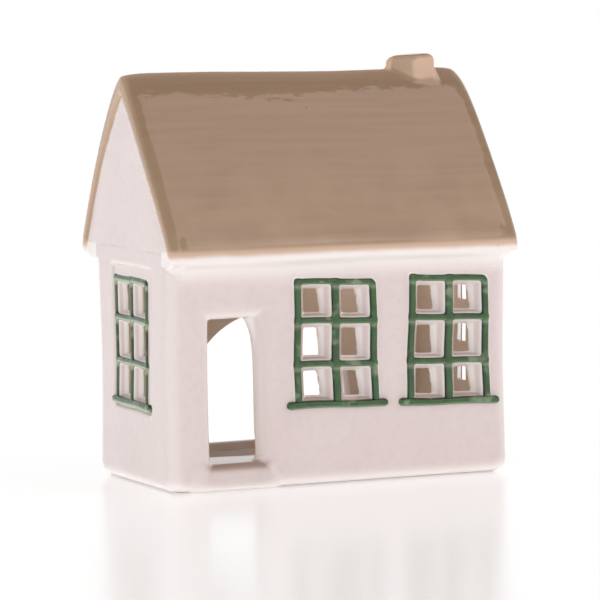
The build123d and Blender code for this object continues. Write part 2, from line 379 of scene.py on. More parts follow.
# Camera, floor and light
CAMERA_AZIMUTH = math.radians(-23.723)
CAMERA_ELEVATION = math.radians(4.429)
CAMERA_ROLL = math.radians(-0.817)
CAMERA_DISTANCE = 1.0
CAMERA_TARGET = Vector((0.00039, 0.0, 0.04939))
CAMERA_LENS = 209.8
CAMERA_SENSOR = 36.0
CAMERA_NEAR = 0.01
FLOOR_HALF = 6.0
FLOOR_DROP = 0.0001
FLOOR_GLOW = 0.10
FLOOR_COLOUR = (0.95, 0.95, 0.95, 1)
FLOOR_SEEN = (0.65, 0.65, 0.65, 1)
TABLE_LIGHT = 2.15
TABLE_SPREAD = math.radians(70)
HORIZON_LIGHT = 1.0
RING_LIGHT = 1.09
RING_LEVELS = (0.16, 0.30)
OVERHEAD_LEVELS = (0.50, 0.66)
TOP_LIGHT = 0.22
LEFT_SHARE = 0.28
ROOM_LIGHT = 0.006
ROOM_LAMP_RADIUS = 0.012
ROOM_LAMP_PLACE = (0.032, 0.004, 0.066)
SOFTBOX_PLACE = Vector((0, -0.017, 0.090))
SOFTBOX_WAY = Vector((0.401, -0.494, 0.771))
SOFTBOX_DISTANCE = 1.2
SOFTBOX_LENGTH = 0.44
SOFTBOX_WIDTH = 1.14
SOFTBOX_RADIANCE = 1.45
SOFTBOX_COLOUR = (1.0, 0.80, 0.78)


class Window:
    """A barred window: its wall, and its frame's corners on that wall, from the bottom left."""

    def __init__(self, name, corners, along, outward, depth, bars):
        self.name = name
        self.corners = corners
        self.along = along
        self.outward = outward
        self.depth = depth
        self.bar_height, self.slim, self.thin_share, self.thin_turn = bars

    def lattice(self, x, y, z):
        """Places on the lattice, as if it were upright and square, and how far they stand out."""
        bottom_left, bottom_right, top_right, top_left = self.corners
        across = self.along[0] * x + self.along[1] * y
        out = self.outward[0] * x + self.outward[1] * y - self.depth
        share = (across - bottom_left[0]) / (bottom_right[0] - bottom_left[0])
        bottom = bottom_left[1] + share * (bottom_right[1] - bottom_left[1])
        top = top_left[1] + share * (top_right[1] - top_left[1])
        up = (z - bottom) / (top - bottom)
        left = bottom_left[0] + up * (top_left[0] - bottom_left[0])
        right = bottom_right[0] + up * (top_right[0] - bottom_right[0])
        sideways = (across - left) / (right - left) - 0.5
        u = sideways * LATTICE_WIDTH
        v = up * LATTICE_HEIGHT
        u = u + BRUSH_WAVE * np.sin(v / BRUSH_LENGTH + self.depth / BRUSH_WAVE)
        v = v + BRUSH_WAVE * np.sin(u / BRUSH_LENGTH + bottom_left[0] / BRUSH_WAVE)
        return u, v, out


def upright_corners(node):
    """The corners of an upright, centred lattice that has a node's height."""
    low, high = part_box(node)
    half = LATTICE_WIDTH / 2
    return ((-half, low.z), (half, low.z), (half, high.z), (-half, high.z))


def make_windows():
    """The four windows by name."""
    made = {}
    fronts = {"front_left_window": FRONT_LEFT_CORNERS, "front_right_window": FRONT_RIGHT_CORNERS}
    for name, corners in fronts.items():
        made[name] = Window(name, corners, (1, 0), (0, -1), HALF_DEPTH, FRONT_BARS)
    for name, side in (("left_gable_window", -1), ("right_gable_window", 1)):
        corners = upright_corners(f"{name}_bars")
        made[name] = Window(name, corners, (0, side), (side, 0), HALF_LENGTH - RECESS_DEPTH, GABLE_BARS)
    return made


WINDOWS = make_windows()


def smooth_min(a, b, reach):
    """Union of two fields with a hollow of that reach where they meet."""
    share = np.clip(0.5 + 0.5 * (b - a) / reach, 0, 1)
    return b + (a - b) * share - reach * share * (1 - share)


def smooth_max(a, b, reach):
    """Intersection of two fields with a rounded edge of that reach."""
    return -smooth_min(-a, -b, reach)


def upright(x, y, z):
    """Places as they would be if the roof did not lean back."""
    return x, y - RIDGE_SETBACK * np.clip((z - EAVE_TOP) / (RIDGE - EAVE_TOP), 0, 1), z


def slow_waves(x, y, z):
    """Places shifted by slow waves, so that no face is quite flat."""
    places = (z + WAVE_SLANTS[0] * y, x + WAVE_SLANTS[1] * z, y + WAVE_SLANTS[2] * x)
    shifts = [WAVE_HEIGHT * np.sin(at / WAVE_LENGTH + start) for at, start in zip(places, WAVE_STARTS)]
    return x + shifts[0], y + shifts[1], z + shifts[2] * np.clip(z / WAVE_LENGTH, 0, 1)


def below_slope(y, z):
    """Distance from the attic's slopes: negative below the roof slabs."""
    return (np.abs(y) * SLOPE + z - ATTIC_RIDGE) / ACROSS


def crown(distance, width):
    """How far a slab's face falls away at a distance from its edge."""
    return CROWN_DROP * np.clip(1 - distance / width, 0, 1) ** 2


def down_slope(y):
    """How far from the ridge to the eaves a place is, as a share."""
    return np.clip(np.hypot(y, RIDGE_SOFTNESS) / EAVE, 0, 1)


def slab_face(y, z):
    """Distance from the bowed outer faces of the roof slabs, negative below them."""
    along = down_slope(y)
    bulge = np.where(y < 0, FRONT_BULGE, BACK_BULGE) * 4 * along * (1 - along)
    return (np.hypot(y, RIDGE_SOFTNESS) * SLOPE + z - RIDGE - RIDGE_LIFT) / ACROSS - bulge


def roof_form(x, y, z):
    """The filled outer form of the roof."""
    face = slab_face(y, z)
    along = down_slope(y)
    fall = crown(VERGE - np.abs(x), CROWN_WIDTH * (1 - VERGE_CROWN_FALL * along))
    fall = fall + crown(along * EAVE * ACROSS, CROWN_WIDTH)
    form = smooth_max(face + fall, np.abs(y) - EAVE, EDGE_BLEND)
    ridge_end = RIDGE_END_BLEND * np.clip(x / VERGE, 0, 1) * (1 - along) ** RIDGE_END_POWER
    form = smooth_max(form, np.abs(x) - VERGE, EDGE_BLEND + ridge_end)
    below_verge = smooth_max(HALF_LENGTH - np.abs(x), face + VERGE_DEPTH, VERGE_HOLLOW)
    form = smooth_max(form, -below_verge, VERGE_BLEND)
    outward = np.clip((np.abs(y) - HALF_DEPTH) / (EAVE - HALF_DEPTH), 0, 1)
    return smooth_max(form, SOFFIT + SOFFIT_RISE * outward - z, EDGE_BLEND)


def outer_form(x, y, z):
    """The filled outer form of walls and roof."""
    corner = CORNER_BLEND + (BACK_CORNER_BLEND - CORNER_BLEND) * np.clip(y / INNER_DEPTH, 0, 1)
    walls = smooth_max(np.abs(x) - HALF_LENGTH, np.abs(y) - HALF_DEPTH, corner)
    walls = smooth_max(walls, -z, FOOT_BLEND)
    walls = np.maximum(walls, z - SOFFIT - ROOF_THICKNESS)
    inside = np.clip((HALF_LENGTH - np.abs(x)) / CORNER_BLEND, 0, 1)
    full = COVE_END_SHARE + (1 - COVE_END_SHARE) * inside**2 * (3 - 2 * inside)
    return smooth_min(walls, roof_form(x, y, z), COVE_BLEND * full)


def cavity(x, y, z):
    """The room and the attic."""
    room = smooth_max(np.abs(x) - INNER_LENGTH, np.abs(y) - INNER_DEPTH, RIM_BLEND)
    return smooth_max(room, below_slope(y, z), RIM_BLEND)


def chimney_form(x, y, z):
    """A soft block whose left end comes to a blunt point, lowest on the left."""
    half = (chimney_high.y - chimney_low.y) / 2
    length = chimney_high.x - chimney_low.x
    lean = math.hypot(half, CHIMNEY_POINT)
    settle = CHIMNEY_SETTLE * (chimney_high.x - x) / length
    form = smooth_max(x - chimney_high.x, np.abs(y) - half, CHIMNEY_CORNER)
    point = (half * (chimney_low.x - CHIMNEY_TIP - x) + CHIMNEY_POINT * np.abs(y)) / lean
    form = smooth_max(form, point, CHIMNEY_CORNER)
    form = smooth_max(form, z - chimney_high.z + WAVE_HEIGHT + settle, CHIMNEY_BLEND)
    return np.maximum(form, chimney_low.z - z)


def chimney_reach(x):
    """The hollow at the chimney's foot, which widens to the right."""
    share = np.clip((x - chimney_low.x) / (chimney_high.x - chimney_low.x), 0, 1)
    return CHIMNEY_CREASE + (CHIMNEY_FLARE - CHIMNEY_CREASE) * share**2


def step_reach(x):
    """The hollow round the doorstep."""
    return np.full(np.shape(x), STEP_JOIN)


def step_form(x, y, z):
    """The doorstep: a ledge with a sloping top."""
    reach = -HALF_DEPTH - step_low.y
    fall = DOOR_SILL - STEP_NOSE
    middle = (step_low.x + step_high.x) / 2
    half = (step_high.x - step_low.x) / 2
    top = (reach * (z - DOOR_SILL) - fall * (y + HALF_DEPTH)) / math.hypot(reach, fall)
    form = smooth_max(top, z - DOOR_SILL, STEP_BLEND)
    form = smooth_max(form, step_low.y - y, STEP_BLEND)
    form = smooth_max(form, np.abs(x - middle) - half, STEP_END_BLEND)
    form = smooth_max(form, step_low.z - z, STEP_BLEND)
    return np.maximum(form, y + INNER_DEPTH)


def doorway(x, y, z):
    """The hole of the door."""
    inward = np.clip((y + HALF_DEPTH) / WALL_THICKNESS, 0, 1)
    lean = DOOR_LEAN * np.exp(-np.maximum(DOOR_HEAD - z, 0) / DOOR_LEAN_HEIGHT)
    right = DOOR_RIGHT - inward * (DOOR_TAPER + lean)
    hole = smooth_max(DOOR_LEFT - x, x - right, DOOR_CORNER)
    hole = smooth_max(hole, z - DOOR_HEAD, DOOR_CORNER)
    hole = smooth_max(hole, DOOR_SILL - z, DOOR_CORNER / 2)
    return np.maximum(hole, y)


def archway(x, y, z):
    """The hole of the arch."""
    outward = np.clip((y - INNER_DEPTH) / WALL_THICKNESS, 0, 1)
    aside = np.clip((x - ARCH_PLACE) / ARCH_RADIUS, 0, 1)
    ring = np.hypot(x - ARCH_PLACE, np.maximum(z - ARCH_SPRING, 0)) - ARCH_RADIUS
    ring = ring + ARCH_TAPER * outward * aside**4
    hole = smooth_max(ring, ARCH_SILL - z, RIM_BLEND)
    return np.maximum(hole, -y)


def panes(window, x, y, z):
    """The six holes of a window, which narrow inwards."""
    u, v, out = window.lattice(x, y, z)
    inward = np.clip(-out / WALL_THICKNESS, -PANE_OVERRUN_SHARE, 1 + PANE_OVERRUN_SHARE)
    row = np.searchsorted([low - TRANSOM / 2 for low, height in PANE_ROWS[1:]], v)
    low = np.array([row_low for row_low, row_height in PANE_ROWS])[row]
    height = np.array([row_height for row_low, row_height in PANE_ROWS])[row]
    middle = np.sign(u) * (MULLION + PANE_WIDTH) / 2
    left = middle - PANE_WIDTH / 2 + FLARE_LEFT * inward
    right = middle + PANE_WIDTH / 2 - inward * (FLARE_RIGHT + FLARE_LEAN * (v - low) / height)
    hole = smooth_max(left - u, u - right, PANE_CORNER)
    hole = smooth_max(hole, low + FLARE_BOTTOM * inward - v, PANE_CORNER)
    hole = smooth_max(hole, v - low - height + FLARE_TOP * inward, PANE_CORNER)
    return np.maximum(hole, -out - 2 * WALL_THICKNESS)


def recess(window, x, y, z):
    """The shallow panel that a gable window lies in."""
    u, v, out = window.lattice(x, y, z)
    toward_front = u if window.along[1] < 0 else -u
    hollow = smooth_max(toward_front - RECESS_FRONT, -toward_front - RECESS_BACK, RIM_BLEND)
    hollow = smooth_max(hollow, v - RECESS_TOP, RIM_BLEND)
    hollow = smooth_max(hollow, RECESS_BOTTOM - v, RIM_BLEND)
    return np.maximum(hollow, -out)


def ceramic(openings):
    """The field of the whole cast form with some of its openings."""

    def field(x, y, z):
        x, y, z = slow_waves(*upright(x, y, z))
        room = cavity(x, y, z)
        form = smooth_max(outer_form(x, y, z), -room, RIM_BLEND)
        outer_share = np.clip(room / WALL_THICKNESS, 0, 1)
        for opening, blend in openings:
            form = smooth_max(form, -opening(x, y, z), INNER_RIM + (blend - INNER_RIM) * outer_share)
        return form

    return field


def added(base, form, reach):
    """The field of the cast form with a form joined on, and the zone that the joined form takes."""

    def joined(x, y, z):
        both = smooth_min(base(x, y, z), form(*slow_waves(*upright(x, y, z))), reach(x))
        return np.maximum(both, -z)

    def zone(x, y, z):
        below = base(x, y, z)
        gain = below - smooth_min(below, form(*slow_waves(*upright(x, y, z))), reach(x))
        return np.maximum(GAIN_SHARE * (LEAST_GAIN - gain), -below - VENEER)

    return joined, zone


def window_openings(*names):
    """The openings of windows, with their recesses where they lie in one."""
    found = []
    for name in names:
        window = WINDOWS[name]
        if window.depth < HALF_LENGTH and window.along[0] == 0:
            found.append((lambda x, y, z, window=window: recess(window, x, y, z), RECESS_BLEND))
        found.append((lambda x, y, z, window=window: panes(window, x, y, z), PANE_BLEND))
    return found


def wall_zone(x, y, z):
    """Where the front and back walls are."""
    return np.maximum(SEAM_DEPTH - np.abs(y), z - SEAM_HEIGHT)


def gable_zone(x, y, z):
    """Where the gables are."""
    return np.maximum(np.abs(y) - SEAM_DEPTH, below_slope(y, z) + SEAM_SHIFT)


def roof_zone(x, y, z):
    """Where the roof slabs are: what the walls and gables leave."""
    return np.maximum(-wall_zone(x, y, z), -gable_zone(x, y, z))


def half_of(zone, axis, side):
    """The part of a zone on one side of the middle of the leaning house."""

    def field(x, y, z):
        at = upright(x, y, z)
        return np.maximum(zone(*at), -side * at[axis])

    return field


def bar_lines(window, u, v):
    """Distance on the wall from the edges of the bars, negative on them."""
    half = LATTICE_WIDTH / 2
    stiles = np.abs(np.abs(u) - half + STILE / 2) - STILE / 2
    upright_bars = np.minimum(stiles, np.abs(u) - MULLION / 2) + window.slim
    level_bars = np.abs(v - LATTICE_HEIGHT + TOP_RAIL / 2) - TOP_RAIL / 2
    for low, height in PANE_ROWS[:-1]:
        level_bars = np.minimum(level_bars, np.abs(v - low - height - TRANSOM / 2) - TRANSOM / 2)
    bars = smooth_min(upright_bars, level_bars, PANE_BLEND)
    bars = smooth_max(bars, -u - half, PANE_BLEND)
    bars = smooth_max(bars, smooth_max(u - half, v - LATTICE_HEIGHT, FRAME_CORNER), PANE_BLEND)
    return np.maximum(bars, -v - SILL_RADIUS)


def lattice_bars(window):
    """The field of a window's bars: rounded ridges that stand a little into the wall."""

    def field(x, y, z):
        u, v, out = window.lattice(*slow_waves(x, y, z))
        return bead(bar_lines(window, u, v), MULLION / 2, out, window.bar_height)

    return field


def halo(names, x, y, z):
    """How near places on a wall are to the outside of painted bars, where the white glaze runs thin."""
    found = np.zeros(np.shape(x))
    for name in names:
        u, v, out = WINDOWS[name].lattice(*slow_waves(x, y, z))
        gap = np.maximum(bar_lines(WINDOWS[name], u, v), 0) / HALO_WIDTH
        found = np.maximum(found, np.exp(-(gap**2)))
    return found


def bead(distance, half_width, out, height):
    """A rounded ridge along lines: distance is from its edge, negative inside, and out from the wall."""
    aside = np.maximum(distance + half_width, 0) / half_width
    ridge = (aside**BEAD_POWER + (np.maximum(out, 0) / height) ** BEAD_POWER) ** (1 / BEAD_POWER)
    ridge = (ridge - 1) * min(half_width, height)
    return np.maximum(ridge, -out - BAR_BED)


def sill_lines(window, u, v):
    """Distance on the wall from the long edges of a sill, negative on it."""
    return np.abs(v + SILL_RADIUS) - SILL_RADIUS


def sill_bar(window):
    """The field of a window's sill: a round-ended roll."""
    low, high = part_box(f"{window.name}_sill")
    reach = max(high.x - low.x, high.y - low.y) / 2 - SILL_RADIUS
    far = [window.outward[0] * corner.x + window.outward[1] * corner.y for corner in (low, high)]
    height = max(far) - window.depth

    def field(x, y, z):
        u, v, out = window.lattice(*slow_waves(x, y, z))
        ends = np.maximum(np.abs(u) - reach, 0)
        fullness = SILL_RADIUS * (1 + SILL_SWELL * np.abs(u) / reach)
        distance = np.hypot(ends, v + SILL_RADIUS) - fullness
        return bead(distance, SILL_RADIUS, out, height)

    return field


def surface_net(field, low, high, step):
    """Points and faces of a field's surface in a box: one point in each cell that the surface crosses."""
    counts = [int(math.ceil((high[i] - low[i]) / step)) + 1 for i in range(3)]
    axes = [low[i] + step * np.arange(counts[i]) for i in range(3)]
    values = field(*np.meshgrid(*axes, indexing="ij"))
    cells = np.array(counts) - 1
    totals = np.zeros((cells.prod(), 3))
    crossings = np.zeros(cells.prod())
    quads = []
    for axis in range(3):
        second, third = (axis + 1) % 3, (axis + 2) % 3
        start = np.moveaxis(values, axis, 0)[:-1]
        end = np.moveaxis(values, axis, 0)[1:]
        places = np.argwhere((start < 0) != (end < 0))
        first = start[tuple(places.T)]
        share = first / (first - end[tuple(places.T)])
        order = [axis] + [i for i in range(3) if i != axis]
        index = np.empty_like(places)
        index[:, order] = places
        points = np.array(low) + step * index
        points[:, axis] += step * share
        corners = []
        for back_second, back_third in ((0, 0), (1, 0), (1, 1), (0, 1)):
            cell = index.copy()
            cell[:, second] -= back_second
            cell[:, third] -= back_third
            flat = np.ravel_multi_index(tuple(cell.T), cells, mode="clip")
            np.add.at(totals, flat, points)
            np.add.at(crossings, flat, 1)
            corners.append(flat)
        ring = np.stack(corners, 1)
        ring[first > 0] = ring[first > 0][:, ::-1]
        quads.append(ring)
    used = np.flatnonzero(crossings)
    number = np.zeros(cells.prod(), int)
    number[used] = np.arange(len(used))
    return totals[used] / crossings[used, None], number[np.concatenate(quads)]


def steepness(field, points, reach):
    """The direction and rate in which a field grows at points."""
    slopes = np.empty_like(points)
    for axis in range(3):
        shift = np.zeros(3)
        shift[axis] = reach
        slopes[:, axis] = field(*(points + shift).T) - field(*(points - shift).T)
    return slopes / (2 * reach)


def pulled(field, points):
    """Points moved onto a field's surface."""
    slopes = steepness(field, points, SLOPE_REACH)
    rate = np.maximum((slopes**2).sum(1), LEAST_RATE)
    return points - (field(*points.T) / rate)[:, None] * slopes


def unit(vectors):
    """Vectors of length one."""
    return vectors / np.maximum(np.linalg.norm(vectors, axis=1), LEAST_LENGTH)[:, None]


def new_piece(name, points, faces, crest_tone, slot, *nodes):
    """A smooth mesh object that rides on a body and stands for CAD nodes."""
    mesh = bpy.data.meshes.new(name)
    mesh.from_pydata([tuple(p) for p in points], [], [tuple(int(i) for i in f) for f in faces])
    mesh.polygons.foreach_set("use_smooth", [True] * len(mesh.polygons))
    piece = bpy.data.objects.new(name, mesh)
    bpy.context.scene.collection.objects.link(piece)
    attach(piece, crest_tone)
    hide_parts(*nodes)
    return piece


def set_attribute(mesh, name, values):
    """A number for each point of a mesh, which its material reads."""
    attribute = mesh.attributes.new(name, "FLOAT", "POINT")
    attribute.data.foreach_set("value", np.asarray(values, np.float32))


def set_normals(mesh, faces, normals, smooth):
    """Shading of a mesh: by the given normals on its smooth faces, and flat elsewhere."""
    flat = np.empty(len(faces) * 3)
    mesh.polygons.foreach_get("normal", flat)
    corners = np.where(smooth[:, None, None], normals[faces], flat.reshape(-1, 1, 3))
    attribute = mesh.attributes.new("custom_normal", "FLOAT_VECTOR", "CORNER")
    attribute.data.foreach_set("vector", corners.astype(np.float32).ravel())


def weigh_top_shade(node, points, base):
    """The weight of the painted shade on what faces up: full low on the front wall, and on a form joined to
    a base, away from that base.
    """
    if base is not None:
        return TOP_SHADE_SHARE + (1 - TOP_SHADE_SHARE) * np.clip(base(*points.T) / TOP_SHADE_FADE, 0, 1)
    low_front = (node == "front_wall") & (points[:, 2] < TOP_SHADE_HEIGHT)
    return np.where(low_front, 1, TOP_SHADE_SHARE)


def cast_piece(node, slot, form, seam, box, step, windows=(), base=None):
    """A closed piece of the cast form, which runs on past its seams just beneath its neighbours."""

    def skin(x, y, z):
        return form(x, y, z) + SEAM_SINK * np.clip(seam(x, y, z) / SEAM_SLOPE, 0, 1)

    def end(x, y, z):
        return seam(x, y, z) - SEAM_REACH

    points, faces = surface_net(lambda x, y, z: np.maximum(skin(x, y, z), end(x, y, z)), *box, step)
    near = SNAP_SHARE * step
    on_skin = np.abs(skin(*points.T)) < near
    on_end = np.abs(end(*points.T)) < near
    for _ in range(SNAP_ROUNDS):
        points[on_end] = pulled(end, points[on_end])
        points[on_skin] = pulled(skin, points[on_skin])
    piece = new_piece(f"{node}_glazed", points, faces, "house", slot, node)
    shade = unit(steepness(form, points, SLOPE_REACH))
    centres = points[faces].mean(1)
    outside = np.abs(skin(*centres.T)) <= np.abs(end(*centres.T))
    set_normals(piece.data, faces, shade, outside)
    set_attribute(piece.data, "edge", 1 + form(*(points - RELIEF_REACH * shade).T) / RELIEF_REACH)
    set_attribute(piece.data, "halo", halo(windows, *points.T))
    set_attribute(piece.data, "pool", weigh_top_shade(node, points, base))
    x, y, z = slow_waves(*upright(*points.T))
    set_attribute(piece.data, "brown", (slab_face(y, z) + VERGE_DEPTH) / BROWN_STRAY)
    # How deep into the wall a place lies, which sets the painted shade in the openings.
    set_attribute(piece.data, "deep", 1 - cavity(*upright(*points.T)) / WALL_THICKNESS)
    inside = cavity(*upright(*centres.T)) < WAVE_HEIGHT * 2
    piece.data.polygons.foreach_set("material_index", inside.astype(np.int32))
    return piece


def bead_piece(node, form, lines, window, box):
    """A painted bar or sill, as one closed piece; lines gives the distance from its edge."""
    points, faces = surface_net(form, *box, SMALL_STEP)
    piece = new_piece(f"{node}_glazed", points, faces, "house", "green_glaze", node)
    u, v, out = window.lattice(*slow_waves(*points.T))
    set_attribute(piece.data, "crest", -lines(window, u, v) / (MULLION / 2))
    shade = unit(steepness(form, points, SLOPE_REACH))
    set_attribute(piece.data, "thin", thin_paint_and_sheen(window, v, shade[:, 2]))
    return piece


def thin_paint_and_sheen(window, v, up):
    """How pale the green is made: by a painted sheen on the undersides of bars, and by thin paint on
    upright bars just below a level one.
    """
    # Painted sheen: paler on faces that turn less far up than the window's turn.
    under = np.clip((window.thin_turn - up) / SHEEN_FADE, 0, 1)
    for low, height in PANE_ROWS:
        gap = np.abs(low + height - THIN_GAP - v)
        under = np.maximum(under, 1 - gap / THIN_REACH)
    return under * window.thin_share


def around(node, margin):
    """A node's box, grown by a margin."""
    low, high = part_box(node)
    return [c - margin for c in low], [c + margin for c in high]


def make_walls():
    """The walls and gables by name."""
    front = ["front_left_window", "front_right_window"]
    left, right = ["left_gable_window"], ["right_gable_window"]
    walls = {
        "front_wall": (window_openings(*front) + [(doorway, DOOR_BLEND)], half_of(wall_zone, 1, -1), front),
        "back_wall": ([(archway, RIM_BLEND)], half_of(wall_zone, 1, 1), []),
        "left_gable": (window_openings(*left), half_of(gable_zone, 0, -1), left),
        "right_gable": (window_openings(*right), half_of(gable_zone, 0, 1), right),
    }
    made = {}
    for node, (openings, zone, windows) in walls.items():
        low, high = around(node, BOX_MARGIN)
        high[1] += RIDGE_SETBACK
        form = ceramic(openings)
        made[node] = cast_piece(node, "white_glaze", form, zone, (low, high), WALL_STEP, windows)
    return made


def make_roof():
    """The roof slabs by name."""
    made = {}
    for node, side in (("roof_front_slab", -1), ("roof_back_slab", 1)):
        low, high = around(node, BOX_MARGIN)
        low[2] = SEAM_HEIGHT - BOX_MARGIN
        high[1] += RIDGE_SETBACK
        zone = half_of(roof_zone, 1, side)
        made[node] = cast_piece(node, "roof_glaze", ceramic([]), zone, (low, high), ROOF_STEP)
    return made


def make_joined():
    """The chimney and the doorstep, which are joined onto the rest, by name."""
    door = [(doorway, DOOR_BLEND)]
    joined = (
        ("chimney", "roof_glaze", ceramic([]), chimney_form, chimney_reach, CHIMNEY_FLARE),
        ("doorstep", "white_glaze", ceramic(door), step_form, step_reach, STEP_JOIN),
    )
    made = {}
    for node, slot, base, shape, reach, widest in joined:
        form, zone = added(base, shape, reach)
        made[node] = cast_piece(node, slot, form, zone, around(node, 2 * widest), SMALL_STEP, base=base)
    return made


def make_bars():
    """The painted bars and sills by name."""
    made = {}
    for window in WINDOWS.values():
        for part, form, lines, margin in (
            ("bars", lattice_bars(window), bar_lines, 3 * MULLION),
            ("sill", sill_bar(window), sill_lines, 2 * MULLION),
        ):
            node = f"{window.name}_{part}"
            made[node] = bead_piece(node, form, lines, window, around(node, margin))
    return made


def new_material(name):
    """A material with a plain principled shader: the material and its shader node."""
    material = bpy.data.materials.new(name)
    material.use_nodes = True
    return material, material.node_tree.nodes["Principled BSDF"]


def add_node(tree, kind, **values):
    """A node with settings, and constant inputs by name."""
    node = tree.nodes.new(kind)
    for key, value in values.items():
        if key in node.inputs:
            node.inputs[key].default_value = value
        else:
            setattr(node, key, value)
    return node


def place(tree, stretch=(1, 1, 1)):
    """The place on a piece in metres, stretched along the axes."""
    coordinates = add_node(tree, "ShaderNodeTexCoord")
    mapping = add_node(tree, "ShaderNodeMapping", Scale=stretch)
    tree.links.new(coordinates.outputs["Object"], mapping.inputs["Vector"])
    return mapping.outputs["Vector"]


def noise(tree, scale, detail, stretch=(1, 1, 1)):
    """A soft random pattern."""
    node = add_node(tree, "ShaderNodeTexNoise", Scale=scale, Detail=detail)
    tree.links.new(place(tree, stretch), node.inputs["Vector"])
    return node.outputs["Fac"]


def between(tree, value, low, high, start=0, end=1, way="SMOOTHSTEP"):
    """A value eased from one number to another while it goes from low to high."""
    node = add_node(tree, "ShaderNodeMapRange", interpolation_type=way)
    tree.links.new(value, node.inputs["Value"])
    for key, number in (("From Min", low), ("From Max", high), ("To Min", start), ("To Max", end)):
        node.inputs[key].default_value = number
    return node.outputs["Result"]


def blend(tree, share, first, second):
    """A colour that goes from the first to the second as the share grows."""
    node = add_node(tree, "ShaderNodeMix", data_type="RGBA")
    tree.links.new(share, node.inputs["Factor"])
    for key, colour in ((6, first), (7, second)):
        if isinstance(colour, tuple):
            node.inputs[key].default_value = colour
        else:
            tree.links.new(colour, node.inputs[key])
    return node.outputs[2]


def sums(tree, operation, *values):
    """A sum of sockets and numbers."""
    node = add_node(tree, "ShaderNodeMath", operation=operation)
    for key, value in enumerate(values):
        if isinstance(value, (int, float)):
            node.inputs[key].default_value = value
        else:
            tree.links.new(value, node.inputs[key])
    return node.outputs["Value"]


def parts_of(tree, socket):
    """The X, Y and Z of a place or a direction."""
    node = add_node(tree, "ShaderNodeSeparateXYZ")
    tree.links.new(socket, node.inputs["Vector"])
    return [node.outputs[axis] for axis in "XYZ"]


def facing(tree):
    """The X, Y and Z of the way that a place faces."""
    return parts_of(tree, add_node(tree, "ShaderNodeTexCoord").outputs["Normal"])


def patches(tree, pattern, start=0, end=1, stretch=(1, 1, 1)):
    """A soft random pattern of a scale and detail, eased between two of its levels."""
    scale, detail, low, high = pattern
    return between(tree, noise(tree, scale, detail, stretch), low, high, start, end)


def marked(tree, name):
    """A number that the mesh carries."""
    return add_node(tree, "ShaderNodeAttribute", attribute_name=name).outputs["Fac"]


def relief(tree, name, levels):
    """How far a place lies on an edge, in a hollow or the like, by what the mesh carries."""
    return between(tree, marked(tree, name), *levels)


def pits(tree, strewn):
    """A few pinholes in a glaze."""
    scale, size = strewn
    cells = add_node(tree, "ShaderNodeTexVoronoi", Scale=scale)
    tree.links.new(place(tree), cells.inputs["Vector"])
    chosen = add_node(tree, "ShaderNodeSeparateColor")
    tree.links.new(cells.outputs["Color"], chosen.inputs["Color"])
    near = between(tree, cells.outputs["Distance"], size, size / 2)
    return sums(tree, "MULTIPLY", near, between(tree, chosen.outputs["Red"], *PIT_LEVELS))


def bump(tree, height, distance, under=None):
    """A normal bent by a height pattern that is a distance deep."""
    node = add_node(tree, "ShaderNodeBump", Distance=distance)
    tree.links.new(height, node.inputs["Height"])
    if under is not None:
        tree.links.new(under, node.inputs["Normal"])
    return node.outputs["Normal"]


def grained(tree, shader, pattern, depth, stretch=(1, 1, 1)):
    """Gives a shader a random grain of a depth."""
    tree.links.new(bump(tree, noise(tree, *pattern, stretch), depth), shader.inputs["Normal"])


def glossy(tree, shader, pattern, rough):
    """Gives a shader a roughness that goes from one number to another in patches."""
    tree.links.new(patches(tree, pattern, *rough), shader.inputs["Roughness"])


def white_colour(tree):
    """The white glaze's colour: cloudy and mottled, paler where it runs thin, with painted shade on what
    faces up and deep in the openings, and a painted highlight on what faces down.
    """
    upward = facing(tree)[2]
    colour = blend(tree, patches(tree, WHITE_CLOUDS), WHITE, WHITE_CLOUD)
    colour = blend(tree, patches(tree, MOTTLE, 0, MOTTLE_SHARE), colour, WHITE_MOTTLE_AND_SHADE)
    # Painted shade: darker deeper into the openings, towards the room.
    colour = blend(tree, relief(tree, "deep", REVEAL_SHADE_LEVELS), colour, WHITE_REVEAL_SHADE)
    # Painted highlight: faces that turn down are paler.
    colour = blend(tree, between(tree, upward, *UNDERSIDE_HIGHLIGHT_LEVELS), colour, WHITE_THIN_AND_HIGHLIGHT)
    # Painted shade: faces that turn up are darker, most of all low on the front wall and on the doorstep.
    top_shade = sums(tree, "MULTIPLY", between(tree, upward, *TOP_SHADE_LEVELS), marked(tree, "pool"))
    colour = blend(tree, top_shade, colour, WHITE_MOTTLE_AND_SHADE)
    colour = blend(tree, relief(tree, "edge", WHITE_EDGE_LEVELS), colour, WHITE_THIN_AND_HIGHLIGHT)
    colour = blend(tree, relief(tree, "halo", HALO_LEVELS), colour, WHITE_THIN_AND_HIGHLIGHT)
    return blend(tree, pits(tree, WHITE_PITS), colour, WHITE_PIT)


